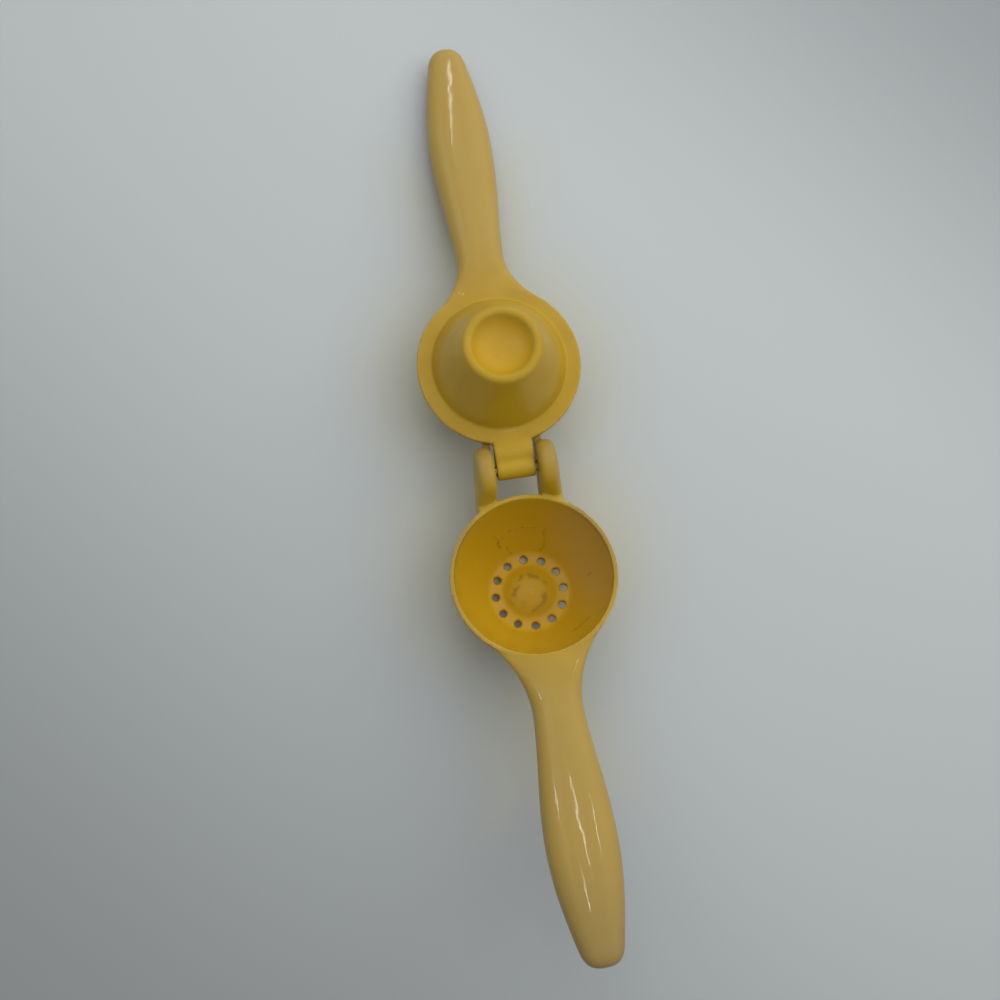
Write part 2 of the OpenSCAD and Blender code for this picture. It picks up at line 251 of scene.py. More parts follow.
class ShaderGroups:
    """Shader node groups that the finishes share, each built once.

    Attributes:
        flat: Factors that leave a vector's height out.
        middle: The middle of a noise's range.
    """

    flat: ClassVar[Place] = (1, 1, 0)
    middle: ClassVar[float] = 0.5

    @staticmethod
    @shader_group("Height", Vector=None, Wave_Scale=0.2, Wave_Height=1.0, Peel_Scale=0.9, Peel_Height=0.2)
    def surface_flow(sheet: NodeSheet, given: dict) -> Socket:
        """Height of a poured or cast skin: slow waves with a fine peel on them."""
        wave = sheet.noise(given["Vector"], given["Wave Scale"], detail=1.5)
        peel = sheet.noise(given["Vector"], given["Peel Scale"], detail=1.0)
        high = sheet.math("MULTIPLY", wave, given["Wave Height"])
        return sheet.math("ADD", high, sheet.math("MULTIPLY", peel, given["Peel Height"]))

    @staticmethod
    @shader_group("Mask", Vector=None, Scale=0.06, Detail=4.0, Low=0.35, High=0.65)
    def mottle(sheet: NodeSheet, given: dict) -> Socket:
        """A soft mask of patches, between 0 and 1."""
        patch = sheet.noise(given["Vector"], given["Scale"], given["Detail"])
        return sheet.span(patch, given["Low"], given["High"], 0, 1)

    @staticmethod
    @shader_group("Mask", Vector=None, Start=None, End=None, Width=0.6, Fray=2.0, Fray_Scale=0.9,
                  Fray_Middle=0.42, Drift=4.0, Drift_Scale=0.16)
    def stroke(sheet: NodeSheet, given: dict) -> Socket:
        """Mask of a straight stroke from one point to another, with a broken edge."""
        drift = sheet.noise(given["Vector"], given["Drift Scale"], detail=1.0).node.outputs["Color"]
        drift = sheet.vector("SUBTRACT", drift, [ShaderGroups.middle] * 3)
        drift = sheet.vector("MULTIPLY", drift, given["Drift"])
        along = sheet.vector("SUBTRACT", given["End"], given["Start"])
        reach = sheet.vector("SUBTRACT", sheet.vector("ADD", given["Vector"], drift), given["Start"])
        run = sheet.vector("DOT_PRODUCT", reach, along)
        share = sheet.math("DIVIDE", run, sheet.vector("DOT_PRODUCT", along, along))
        share.node.use_clamp = True
        away = sheet.vector("DISTANCE", reach, sheet.vector("MULTIPLY", along, share))
        frayed = sheet.noise(given["Vector"], given["Fray Scale"], detail=3.0)
        fray = sheet.math("MULTIPLY", sheet.math("SUBTRACT", frayed, given["Fray Middle"]), given["Fray"])
        return sheet.span(sheet.math("ADD", away, fray), 0.0, given["Width"], 1, 0)

    @staticmethod
    @shader_group("Mask", Vector=None, Radius=34.7, Slope=0.0, Belly=0.0, Top=-0.5, Bottom=-33.4,
                  Edge=1.0, Blur=2.5)
    def pool(sheet: NodeSheet, given: dict) -> Socket:
        """Mask of a hollow about the Z axis, between two heights and within a wall that may taper."""
        height = sheet.axes(given["Vector"])[2]
        away = sheet.vector("LENGTH", sheet.vector("MULTIPLY", given["Vector"], ShaderGroups.flat))
        slope = sheet.math("ADD", given["Slope"], sheet.math("MULTIPLY", height, given["Belly"]))
        wall = sheet.math("ADD", given["Radius"], sheet.math("MULTIPLY", height, slope))
        inside = sheet.math("SUBTRACT", wall, away)
        above = sheet.math("SUBTRACT", height, given["Bottom"])
        within = sheet.span(sheet.math("MINIMUM", inside, above), 0.0, given["Edge"], 0, 1)
        below = sheet.math("SUBTRACT", given["Top"], height)
        return sheet.math("MULTIPLY", within, sheet.span(below, 0.0, given["Blur"], 0, 1))

    @staticmethod
    @shader_group("Mask", Vector=None, Radius=7.3, Width=1.1, Sway=6.0, Lobe_Scale=0.15,
                  Fade_Scale=0.24, Fade_Low=0.42, Fade_High=0.6, Faintest=0.05, Top=-20.0)
    def ring_stain(sheet: NodeSheet, given: dict) -> Socket:
        """Mask of a ragged ring about the Z axis, below a height."""
        flat = sheet.vector("MULTIPLY", given["Vector"], ShaderGroups.flat)
        lobes = sheet.noise(flat, given["Lobe Scale"], detail=2.0)
        sway = sheet.math("MULTIPLY", sheet.math("SUBTRACT", lobes, ShaderGroups.middle), given["Sway"])
        radius = sheet.math("ADD", sheet.vector("LENGTH", flat), sway)
        away = sheet.math("ABSOLUTE", sheet.math("SUBTRACT", radius, given["Radius"]))
        fade = sheet.noise(given["Vector"], given["Fade Scale"], detail=1.0)
        fade = sheet.span(fade, given["Fade Low"], given["Fade High"], given["Faintest"], 1)
        patch = sheet.math("MULTIPLY", sheet.span(away, 0.0, given["Width"], 1, 0), fade)
        low = sheet.math("LESS_THAN", sheet.axes(given["Vector"])[2], given["Top"])
        return sheet.math("MULTIPLY", patch, low)


@dataclass(frozen=True)
class Finish:
    """A surface finish, which makes one material and puts it on a piece."""

    name: str
    slot: str | None

    def build(self, sheet: NodeSheet, shader: Node, spot: Socket) -> None:
        """Adds the finish's own nodes."""
        raise NotImplementedError

    def material(self) -> bpy.types.Material:
        """Makes the material."""
        made = bpy.data.materials.new(self.name)
        made.use_nodes = True
        sheet = NodeSheet(made.node_tree)
        shader = made.node_tree.nodes["Principled BSDF"]
        self.build(sheet, shader, sheet.add("ShaderNodeTexCoord").outputs["Object"])
        return made

    def dress(self, piece: Piece) -> None:
        """Puts the finish on the piece."""
        piece.data.materials.clear()
        piece.data.materials.append(self.material())


@dataclass(frozen=True)
class Stroke:
    """A scuff or a dark streak on the enamel, in the casting's own frame.

    Attributes:
        start: Where it starts.
        end: Where it ends.
        width: Half its width.
        strength: How dark it is, from 0 to 1.
        fray: How ragged its edge is.
    """

    start: Place
    end: Place
    width: float
    strength: float
    fray: float = 1.0


@dataclass(frozen=True)
class RingStain:
    """A ragged ring that drying juice leaves about the casting's axis.

    Attributes:
        radius: Radius of the ring.
        width: Half its width.
        sway: How far it wanders in and out.
        strength: How dark it is, from 0 to 1.
    """

    radius: float
    width: float
    sway: float
    strength: float


@dataclass(frozen=True)
class Tone:
    """A tone of the enamel that changes with the distance from a place.

    Attributes:
        centre: The place.
        none: Distance at which the tone has faded out.
        full: Distance at which it is full, beyond the other or within it.
        colour: The tone.
        strength: Share of the tone where it is full.
        gloss: Share of the coat that is left there.
    """

    # By default the tone paints the handles paler and greyer: partly rubbing from handling, partly a painted
    # sheen.
    centre: Place = (0, 22, 0)
    none: float = 34.0
    full: float = 88.0
    colour: Colour = paint(164, 137, 66)
    strength: float = 0.85
    gloss: float = 1.0


@dataclass(frozen=True)
class Pool:
    """A hollow about the casting's axis, where the enamel is less glossy and a deeper yellow that paints the
    light bounced inside it.

    Attributes:
        radius: Radius of the middle of the wall, at height 0.
        slope: How much that radius grows with the height.
        belly: How much it grows with the square of the height.
        top: Height of its mouth.
        bottom: Height of the middle of its floor.
        colour: The enamel's colour in it, with painted bounce light.
        gloss: Share of the coat that is left there.
        spots: Tones of its own.
    """

    radius: float = 34.7
    slope: float = 0.2187
    belly: float = -0.009146
    top: float = -0.5
    bottom: float = -33.4
    colour: Colour = paint(182, 142, 15)
    gloss: float = 0.7
    spots: tuple[Tone, ...] = ()


@dataclass(frozen=True)
class Enamel(Finish):
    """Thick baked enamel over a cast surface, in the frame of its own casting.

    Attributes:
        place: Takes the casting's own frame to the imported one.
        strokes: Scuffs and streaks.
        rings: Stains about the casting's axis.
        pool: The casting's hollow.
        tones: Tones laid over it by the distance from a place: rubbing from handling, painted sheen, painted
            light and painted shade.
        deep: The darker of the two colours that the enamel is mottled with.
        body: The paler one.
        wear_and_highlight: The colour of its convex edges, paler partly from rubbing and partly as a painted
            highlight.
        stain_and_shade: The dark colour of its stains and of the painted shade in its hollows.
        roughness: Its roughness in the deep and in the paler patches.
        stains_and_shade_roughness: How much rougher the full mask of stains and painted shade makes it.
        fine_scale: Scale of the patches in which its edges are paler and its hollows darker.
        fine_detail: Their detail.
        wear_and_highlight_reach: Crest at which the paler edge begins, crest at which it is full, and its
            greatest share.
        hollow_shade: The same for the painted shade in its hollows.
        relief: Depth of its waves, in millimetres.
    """

    place: Matrix = field(default_factory=Matrix)
    strokes: tuple[Stroke, ...] = ()
    rings: tuple[RingStain, ...] = ()
    pool: Pool = Pool()
    tones: tuple[Tone, ...] = ()
    deep: Colour = paint(165, 131, 12)
    body: Colour = paint(173, 140, 22)
    wear_and_highlight: Colour = paint(195, 167, 84)
    stain_and_shade: Colour = paint(96, 64, 6)
    roughness: tuple[float, float] = (0.51, 0.42)
    stains_and_shade_roughness: float = 0.3
    coat: float = 0.4
    coat_roughness: float = 0.07
    specular: float = 0.35
    fine_scale: float = 0.5
    fine_detail: float = 5.0
    wear_and_highlight_reach: tuple[float, float, float] = (0.12, 0.4, 0.7)
    hollow_shade: tuple[float, float, float] = (-0.12, -0.45, 0.3)
    wave_scale: float = 0.3
    peel_scale: float = 0.8
    peel_height: float = 0.8
    relief: float = 0.08

    def own_frame(self, sheet: NodeSheet, spot: Socket) -> Socket:
        """Turns packed coordinates back to the casting's own, in millimetres."""
        handed = -1 if self.place.determinant() < 0 else 1
        turned = self.place.to_3x3() @ Matrix.Diagonal((1 / MM, 1 / MM, handed / MM))
        node = sheet.add("ShaderNodeMapping")
        node.vector_type = "TEXTURE"
        sheet.fill(node, Vector=spot, Location=self.place.translation, Rotation=turned.to_euler(),
                   Scale=(MM, MM, handed * MM))
        return node.outputs["Vector"]

    @staticmethod
    def toned(sheet: NodeSheet, own: Socket, tones: Sequence[Tone],
              colour: object, coat: object) -> tuple[object, object]:
        """Lays tones over the colour and the coat and returns both."""
        for tone in tones:
            away = sheet.vector("DISTANCE", own, tone.centre)
            share = sheet.span(away, tone.none, tone.full, 0, tone.strength)
            colour = sheet.blend(share, colour, tone.colour)
            coat = sheet.math("MULTIPLY", coat, sheet.span(away, tone.none, tone.full, 1, tone.gloss))
        return colour, coat

    def grimed(self, sheet: NodeSheet, own: Socket, stains_and_shade: Socket) -> Socket:
        """Adds the scuffs, the streaks and the stains to the mask of painted shade in hollows and returns
        it.
        """
        masks = [
            (mark.strength, sheet.group(ShaderGroups.stroke(), Vector=own, Start=mark.start, End=mark.end,
                                        Width=mark.width, Fray=mark.fray))
            for mark in self.strokes
        ] + [
            (mark.strength, sheet.group(ShaderGroups.ring_stain(), Vector=own, Radius=mark.radius,
                                        Width=mark.width, Sway=mark.sway))
            for mark in self.rings
        ]
        for strength, mask in masks:
            stains_and_shade = sheet.math("MAXIMUM", stains_and_shade, sheet.math("MULTIPLY", mask, strength))
        return stains_and_shade

    def build(self, sheet: NodeSheet, shader: Node, spot: Socket) -> None:
        """Mottled colour, edges paler partly from rubbing and partly as a painted highlight, painted shade
        in hollows, stains, tones and a softly waved gloss.
        """
        own = self.own_frame(sheet, spot)
        patches = sheet.group(ShaderGroups.mottle(), Vector=own)
        colour = sheet.blend(patches, self.deep, self.body)
        hollow = self.pool
        pool = sheet.group(ShaderGroups.pool(), Vector=own, Radius=hollow.radius, Slope=hollow.slope,
                           Belly=hollow.belly, Top=hollow.top, Bottom=hollow.bottom)
        colour, coat = self.toned(sheet, own, self.tones, colour, self.coat)
        # The hollow's deeper yellow is painted bounce light.
        inner = self.toned(sheet, own, hollow.spots, hollow.colour, self.coat * hollow.gloss)
        colour = sheet.blend(pool, colour, inner[0])
        coat = sheet.span(pool, 0, 1, coat, inner[1])
        crest = sheet.add("ShaderNodeAttribute")
        crest.attribute_name = CREST
        patchy = sheet.group(ShaderGroups.mottle(), Vector=own, Scale=self.fine_scale,
                             Detail=self.fine_detail)
        # Convex edges turn paler, partly rubbed and partly a painted highlight; hollows turn darker, a
        # painted shade.
        edge, stains_and_shade = (
            sheet.math("MULTIPLY", sheet.span(crest.outputs["Fac"], none, full, 0, most), patchy)
            for none, full, most in (self.wear_and_highlight_reach, self.hollow_shade)
        )
        colour = sheet.blend(edge, colour, self.wear_and_highlight)
        stains_and_shade = self.grimed(sheet, own, stains_and_shade)
        rough = sheet.span(patches, 0, 1, *self.roughness)
        flow = sheet.group(ShaderGroups.surface_flow(), Vector=own, Wave_Scale=self.wave_scale,
                           Peel_Scale=self.peel_scale, Peel_Height=self.peel_height)
        bump = sheet.add("ShaderNodeBump", Strength=BUMP_STRENGTH, Distance=self.relief * MM, Height=flow)
        sheet.fill(
            # Stains and the painted shade in hollows darken the colour and roughen it.
            shader, Base_Color=sheet.blend(stains_and_shade, colour, self.stain_and_shade),
            Roughness=sheet.math("ADD", rough, sheet.math("MULTIPLY", stains_and_shade, self.stains_and_shade_roughness)),
            Specular_IOR_Level=self.specular, Coat_Weight=coat, Coat_Roughness=self.coat_roughness,
            Normal=bump.outputs["Normal"],
        )


@dataclass(frozen=True)
class DrawnSteel(Finish):
    """Drawn steel, dulled by juice and washing."""

    bright: Colour = paint(196, 190, 178)
    dull: Colour = paint(128, 112, 88)
    roughness: tuple[float, float] = (0.5, 0.28)
    tarnish_scale: float = 400.0
    wave_scale: float = 500.0
    peel_scale: float = 2500.0
    relief: float = 0.03

    def build(self, sheet: NodeSheet, shader: Node, spot: Socket) -> None:
        """Tarnish in patches over a finely rubbed skin."""
        tarnish = sheet.group(ShaderGroups.mottle(), Vector=spot, Scale=self.tarnish_scale)
        flow = sheet.group(ShaderGroups.surface_flow(), Vector=spot, Wave_Scale=self.wave_scale,
                           Peel_Scale=self.peel_scale)
        bump = sheet.add("ShaderNodeBump", Strength=BUMP_STRENGTH, Distance=self.relief * MM, Height=flow)
        sheet.fill(
            shader, Base_Color=sheet.blend(tarnish, self.dull, self.bright), Metallic=1.0,
            Roughness=sheet.span(tarnish, 0, 1, *self.roughness), Normal=bump.outputs["Normal"],
        )


@dataclass(frozen=True)
class PaintedShadeSide:
    """A side towards which the table top is painted slowly deeper in tone: painted shade.

    Attributes:
        towards: Direction of that side.
        start: Distance from the middle at which the tone begins to change, in metres.
        end: Distance at which it is deepest.
        tone: The deepest tone.
    """

    towards: Place
    start: float
    end: float
    tone: Colour


@dataclass(frozen=True)
class PaleTop(Finish):
    """The plain pale table top, with painted shade towards two corners and painted bounce light from the
    yellow castings round them.

    Attributes:
        pale: Its tone in the middle.
        shaded_sides: Directions towards which it gets deeper, a painted shade.
        painted_bounce: The tone of the painted bounce light.
        painted_bounce_reach: How far from the castings the painted bounce light reaches, in metres.
        painted_bounce_fall: How steeply it falls off, as an exponent.
        bar: Half the width and half the length of the handles' strip of painted bounce light.
        rounds: The middles of the two round patches of painted bounce light.
        round_r: Their radius.
    """

    pale: Colour = paint(177, 182, 183)
    painted_bounce: Colour = paint(180, 181, 169)
    painted_bounce_reach: float = 0.058
    painted_bounce_fall: float = 2.0
    bar: Place = (0.004, 0.12, 0)
    rounds: tuple[Place, ...] = ((0, -0.036, 0), (0, 0.045, 0))
    round_r: float = 0.036
    roughness: float = 0.7
    specular: float = 0.2
    shaded_sides: tuple[PaintedShadeSide, ...] = (
        PaintedShadeSide((-0.785, -0.619, 0), -0.001, 0.321, paint(144, 148, 149)),
        PaintedShadeSide((0.716, 0.698, 0), 0.11, 0.37, paint(134, 139, 140)),
    )

    def build(self, sheet: NodeSheet, shader: Node, spot: Socket) -> None:
        """One matt tone, with painted shade that deepens it towards two corners and painted bounce light
        round the castings.
        """
        colour = self.pale
        # Painted shade: the tone deepens towards each of two corners.
        for side in self.shaded_sides:
            along = sheet.vector("DOT_PRODUCT", spot, side.towards)
            colour = sheet.blend(sheet.span(along, side.start, side.end, 0, 1), colour, side.tone)
        # Painted bounce light: a yellower tone near the castings.
        beyond = sheet.axes(sheet.vector("SUBTRACT", sheet.vector("ABSOLUTE", spot), self.bar))
        away = sheet.math("MAXIMUM", beyond[0], beyond[1])
        for middle in self.rounds:
            gap = sheet.math("SUBTRACT", sheet.vector("DISTANCE", spot, middle), self.round_r)
            away = sheet.math("MINIMUM", away, gap)
        bounce_share = sheet.math("POWER", sheet.span(away, self.painted_bounce_reach, 0, 0, 1), self.painted_bounce_fall)
        sheet.fill(shader, Base_Color=sheet.blend(bounce_share, colour, self.painted_bounce), Roughness=self.roughness,
                   Specular_IOR_Level=self.specular)


# ---- shaping tools ----


def make_piece(name: str, fill: Callable[[BMesh], object], closed: bool = True) -> Piece:
    """Makes an object of what a function adds to an empty bmesh.

    Args:
        name: The object's name.
        fill: Adds its shape.
        closed: Whether it is one closed shell, whose faces are then turned outward.

    Returns:
        The object.
    """
    mesh = bmesh.new()
    fill(mesh)
    if closed:
        bmesh.ops.recalc_face_normals(mesh, faces=mesh.faces)
    data = bpy.data.meshes.new(name)
    mesh.to_mesh(data)
    mesh.free()
    piece = bpy.data.objects.new(name, data)
    bpy.context.scene.collection.objects.link(piece)
    return piece


def triangles(piece: Piece) -> int:
    """How many triangles the piece has."""
    return sum(len(face.vertices) - 2 for face in piece.data.polygons)


def only(kind: type, items: Iterable) -> list:
    """The items that are of one kind."""
    return [item for item in items if isinstance(item, kind)]


@dataclass(frozen=True)
class Corner:
    """One corner of a turned outline: its radius, its height and how far its rounding cuts back."""

    radius: float
    height: float
    rounding: float = 0.0


def sharp(points: Iterable[Vector]) -> list[Corner]:
    """Corners without rounding at the points."""
    return [Corner(point.x, point.y) for point in points]


def arc(centre: Vector, radius: float, start: float, end: float, steps: int = 10) -> list[Vector]:
    """Points on an arc in a plane, from one angle to another, in degrees and equal steps."""
    angles = (math.radians(start + (end - start) * i / steps) for i in range(steps + 1))
    return [centre + radius * Vector((math.cos(a), math.sin(a))) for a in angles]


def bulged(top: Vector, bottom: Vector, bulge: float, steps: int = 14) -> list[Vector]:
    """Points on the shallow arc from top down to bottom that bulges away from the axis."""
    chord = (bottom - top).length
    radius = (chord * chord / 4 + bulge * bulge) / (2 * bulge)
    along = (bottom - top) / chord
    inward = Vector((along.y, -along.x))
    centre = (top + bottom) / 2 + inward * (radius - bulge)
    half = math.degrees(math.asin(chord / 2 / radius))
    middle = math.degrees(math.atan2(-inward.y, -inward.x))
    return arc(centre, radius, middle + half, middle - half, steps)


def cap(radius: float, rise: float, base: float, steps: int = 12) -> list[Vector]:
    """Points on a round cap about the axis, from its middle out to its edge.

    Args:
        radius: Radius of the cap's edge.
        rise: Height of the middle over the edge, below zero for a hollow.
        base: Height of the edge.
        steps: Number of equal steps.

    Returns:
        The points.
    """
    curve = (radius**2 + rise**2) / (2 * abs(rise))
    half = math.degrees(math.asin(radius / curve))
    side = math.copysign(1, rise)
    points = arc(Vector((0, base + rise - side * curve)), curve, side * 90, side * (90 - half), steps)
    points[0].x = 0
    return points


class Shaper:
    """Shapes that the castings are made of, each added to a bmesh as a closed shell."""

    turn_steps: ClassVar[int] = 160
    corner_steps: ClassVar[int] = 6
    edge_steps: ClassVar[int] = 5
    ball_steps: ClassVar[tuple[int, int]] = (24, 12)
    weld: ClassVar[float] = 0.001

    @staticmethod
    def bevel(mesh: BMesh, geom: Iterable, rounding: float, segments: int, affect: str = "EDGES") -> None:
        """Rounds edges or vertices off."""
        bmesh.ops.bevel(
            mesh, geom=list(geom), offset=rounding, affect=affect, segments=segments,
            profile=0.5, material=-1,
        )

    @classmethod
    def turned(cls, mesh: BMesh, outline: Sequence[Corner]) -> None:
        """Spins an outline about the Z axis.

        Args:
            mesh: The bmesh that takes the shell.
            outline: Corners from the axis round to the axis.
        """
        known = set(mesh.verts)
        verts = [mesh.verts.new((corner.radius, 0, corner.height)) for corner in outline]
        for pair in zip(verts, verts[1:]):
            mesh.edges.new(pair)
        for vert, corner in zip(verts, outline):
            if corner.rounding > 0:
                cls.bevel(mesh, [vert], corner.rounding, cls.corner_steps, "VERTICES")
        wire = [vert for vert in mesh.verts if vert not in known]
        wire_edges = {edge for vert in wire for edge in vert.link_edges}
        bmesh.ops.spin(
            mesh, geom=[*wire, *wire_edges], cent=(0, 0, 0), axis=(0, 0, 1), dvec=(0, 0, 0),
            angle=math.tau, steps=cls.turn_steps, use_merge=True,
        )
        made = [vert for vert in mesh.verts if vert not in known]
        bmesh.ops.remove_doubles(mesh, verts=made, dist=cls.weld)

    @staticmethod
    def rod(mesh: BMesh, radius: float, length: float, place: Matrix, steps: int = 48) -> list:
        """Adds a straight rod about the Z axis of its place and returns its vertices."""
        made = bmesh.ops.create_cone(
            mesh, cap_ends=True, segments=steps, radius1=radius, radius2=radius, depth=length, matrix=place,
        )
        return made["verts"]

    @classmethod
    def ball(cls, mesh: BMesh, radius: float, centre: Vector) -> list:
        """Adds a ball and returns its vertices."""
        round_it, down_it = cls.ball_steps
        made = bmesh.ops.create_uvsphere(
            mesh, u_segments=round_it, v_segments=down_it, radius=radius, matrix=Matrix.Translation(centre),
        )
        return made["verts"]

    @staticmethod
    def wrap(mesh: BMesh, verts: Iterable) -> None:
        """Stretches one convex skin over the vertices and drops what lies inside it."""
        made = bmesh.ops.convex_hull(mesh, input=list(verts), use_existing_faces=False)
        inner = {*only(BMVert, made["geom_interior"]), *only(BMVert, made["geom_unused"])}
        bmesh.ops.delete(mesh, geom=list(inner), context="VERTS")


# ---- the castings' parts ----


@dataclass(frozen=True)
class Handle:
    """A handle: a flat web that leaves the rim, a narrow neck, a full grip and a round tip.

    Attributes:
        web_angle: Angle from the crosswise line at which the web leaves the rim, in degrees.
        rim_r: Radius of the rim or flange that carries the handle.
        lean: Angle at which the face falls away from the rim's plane beyond the neck, in degrees.
        root_square: How square the section is at the rim, as the exponent of its outline.
        grip_square: How square it is from the neck on.
        tip_square: How square the tip is in plan.
        tip_rest: Share of a step that is left between the last section and the tip's end.
    """

    web_angle: float
    rim_r: float = 35.0
    length: float = 152.3
    web_t: float = 3.2
    neck_w: float = 20.6
    neck_t: float = 13.0
    grip_w: float = 28.2
    grip_t: float = 17.8
    grip_place: float = 0.52
    tip_w: float = 13.6
    tip_t: float = 12.0
    tip_round: float = 7.5
    waist: float = 6.0
    lean: float = 1.4
    root_square: float = 5.0
    grip_square: float = 2.35
    tip_square: float = 3.0
    around: int = 96
    along: int = 70
    tip_steps: int = 14
    tip_rest: float = 0.3

    @property
    def web_arc_r(self) -> float:
        """Radius of the arc along which the web narrows to the neck."""
        angle = math.radians(self.web_angle)
        return (self.rim_r * math.cos(angle) - self.neck_w / 2) / (1 - math.cos(angle))

    @property
    def web_s(self) -> float:
        """Distance from the bowl's axis at which the web begins."""
        return self.rim_r * math.sin(math.radians(self.web_angle))

    @property
    def neck_s(self) -> float:
        """Distance at which the web has become the neck."""
        return (self.rim_r + self.web_arc_r) * math.sin(math.radians(self.web_angle))

    @property
    def grip_s(self) -> float:
        """Distance at which the grip is fullest."""
        return self.neck_s + (self.length - self.neck_s) * self.grip_place

    def fade(self, s: float) -> float:
        """How full the grip still is between its fullest place and the tip."""
        return math.cos(math.pi / 2 * (s - self.grip_s) / (self.length - self.grip_s))

    def half_width(self, s: float) -> float:
        """Half of the handle's width at distance s."""
        if s > self.grip_s:
            return self.tip_w / 2 + (self.grip_w - self.tip_w) / 2 * self.fade(s)
        run = max(0.0, self.neck_s - s)
        web = self.neck_w / 2 + self.web_arc_r - math.sqrt(self.web_arc_r**2 - run**2)
        start = self.neck_s - self.waist
        swell = (self.grip_w - self.neck_w) / 2 * ease((s - start) / (self.grip_s - start))
        return max(web, self.neck_w / 2 + swell)

    def thickness(self, s: float) -> float:
        """The handle's thickness at distance s."""
        if s < self.neck_s:
            share = ease((s - self.web_s) / (self.neck_s - self.web_s))
            return self.web_t + (self.neck_t - self.web_t) * share
        if s < self.grip_s:
            share = ease((s - self.neck_s) / (self.grip_s - self.neck_s))
            return self.neck_t + (self.grip_t - self.neck_t) * share
        return self.tip_t + (self.grip_t - self.tip_t) * self.fade(s)

    def face_drop(self, s: float) -> float:
        """How far the handle's inner face lies below the plane of the rim."""
        return max(0.0, s - self.neck_s) * math.tan(math.radians(self.lean))

    def squareness(self, s: float) -> float:
        """How square the section is at distance s."""
        share = max(0.0, 1 - (s - self.web_s) / (self.neck_s - self.web_s))
        return self.grip_square + (self.root_square - self.grip_square) * share**2

    def point(self, s: float, angle: float) -> Vector:
        """A point of the section at distance s, at an angle round it."""
        into_tip = max(0.0, (s - self.length + self.tip_round) / self.tip_round)
        share = max(0.0, 1 - into_tip**self.tip_square) ** (1 / self.tip_square)
        flat = 2 / self.squareness(s)
        across = self.half_width(s) * share * power(math.cos(angle), flat)
        depth = self.thickness(s) / 2 * (1 - share * power(math.sin(angle), flat))
        return Vector((across, -s, -self.face_drop(s) - depth))

    def stations(self) -> list[float]:
        """Distances of the sections, closer together in the round tip."""
        round_s = self.length - self.tip_round
        body = [self.web_s + (round_s - self.web_s) * i / self.along for i in range(self.along + 1)]
        step = math.pi / 2 / (self.tip_steps + self.tip_rest)
        return body + [round_s + self.tip_round * math.sin(step * (i + 1)) for i in range(self.tip_steps)]

    def add_to(self, mesh: BMesh) -> None:
        """Extrudes a ring section by section, from the rim to the tip."""
        angle = mesh.verts.layers.float.new("section_angle")
        ring = bmesh.ops.create_circle(mesh, cap_ends=True, segments=self.around, radius=1)["verts"]
        for vert in ring:
            vert[angle] = math.atan2(vert.co.y, vert.co.x)
        edges = list({edge for vert in ring for edge in vert.link_edges})
        for i, s in enumerate(self.stations()):
            if i:
                made = bmesh.ops.extrude_edge_only(mesh, edges=edges)["geom"]
                ring = set(only(BMVert, made))
                edges = [edge for edge in only(bmesh.types.BMEdge, made) if ring.issuperset(edge.verts)]
            for vert in ring:
                vert.co = self.point(s, vert[angle])
        bmesh.ops.contextual_create(mesh, geom=edges)


@dataclass(frozen=True)
class Hinge:
    """The hinge's sizes, which the two castings and the pin share."""

    pin_y: float = 45.0
    pin_z: float = 5.5
    pin_r: float = 2.0
    clearance: float = 0.06
    seat_gap: float = 0.3
    flange_t: float = 3.5
    tab_w: float = 16.5
    gap: float = 1.1
    ear_t: float = 7.8
    ear_r: float = 10.7
    ear_round: float = 3.2
    ear_flare: float = 1.5
    root_h: float = 13.0
    root_round: float = 2.3
    root_gap: float = 0.35
    root_lift: float = 0.2
    barrel_r: float = 4.2
    stop_w: float = 3.2
    stop_reach: float = 2.6
    stop_t: float = 3.0
    stop_gap: float = 0.2
    heel_r: float = 3.95

    @property
    def ear_in(self) -> float:
        """Distance of an ear's inner face from the middle."""
        return self.tab_w / 2 + self.gap

    @property
    def ear_out(self) -> float:
        """Distance of an ear's outer face from the middle."""
        return self.ear_in + self.ear_t

    def at_pin(self, x: float) -> Matrix:
        """Takes a shape about the Z axis to the pin's axis, with its middle at x."""
        return Matrix.Translation((x, self.pin_y, self.pin_z)) @ Matrix.Rotation(math.pi / 2, 4, "Y")


@dataclass(frozen=True)
class Wave:
    """Soft waves that grinding and thick enamel leave in a cast skin, in millimetres.

    Attributes:
        length: Length of a wave across the casting.
        stretch: How many times longer a wave is along the handle.
        height: Height of a wave.
        shift: Place of the pattern, which tells two sets of waves apart.
    """

    length: float
    stretch: float
    height: float
    shift: float = 0.0

    def at(self, place: Vector) -> float:
        """Height of the waves at a place."""
        spot = Vector((place.x, place.y / self.stretch, place.z)) / self.length
        return self.height * noise.noise(spot + Vector((self.shift, self.shift, self.shift)))


@dataclass(frozen=True)
class Lump:
    """A small rough lump, such as the mark that a mould's gate leaves, in millimetres."""

    centre: Place
    radius: float
    height: float
    grain: float = 1.1

    def at(self, place: Vector) -> float:
        """Height of the lump at a place."""
        away = (place - Vector(self.centre)).length / self.radius
        if away >= 1:
            return 0.0
        return self.height * ease(1 - away) * (1 + noise.noise(place / self.grain))


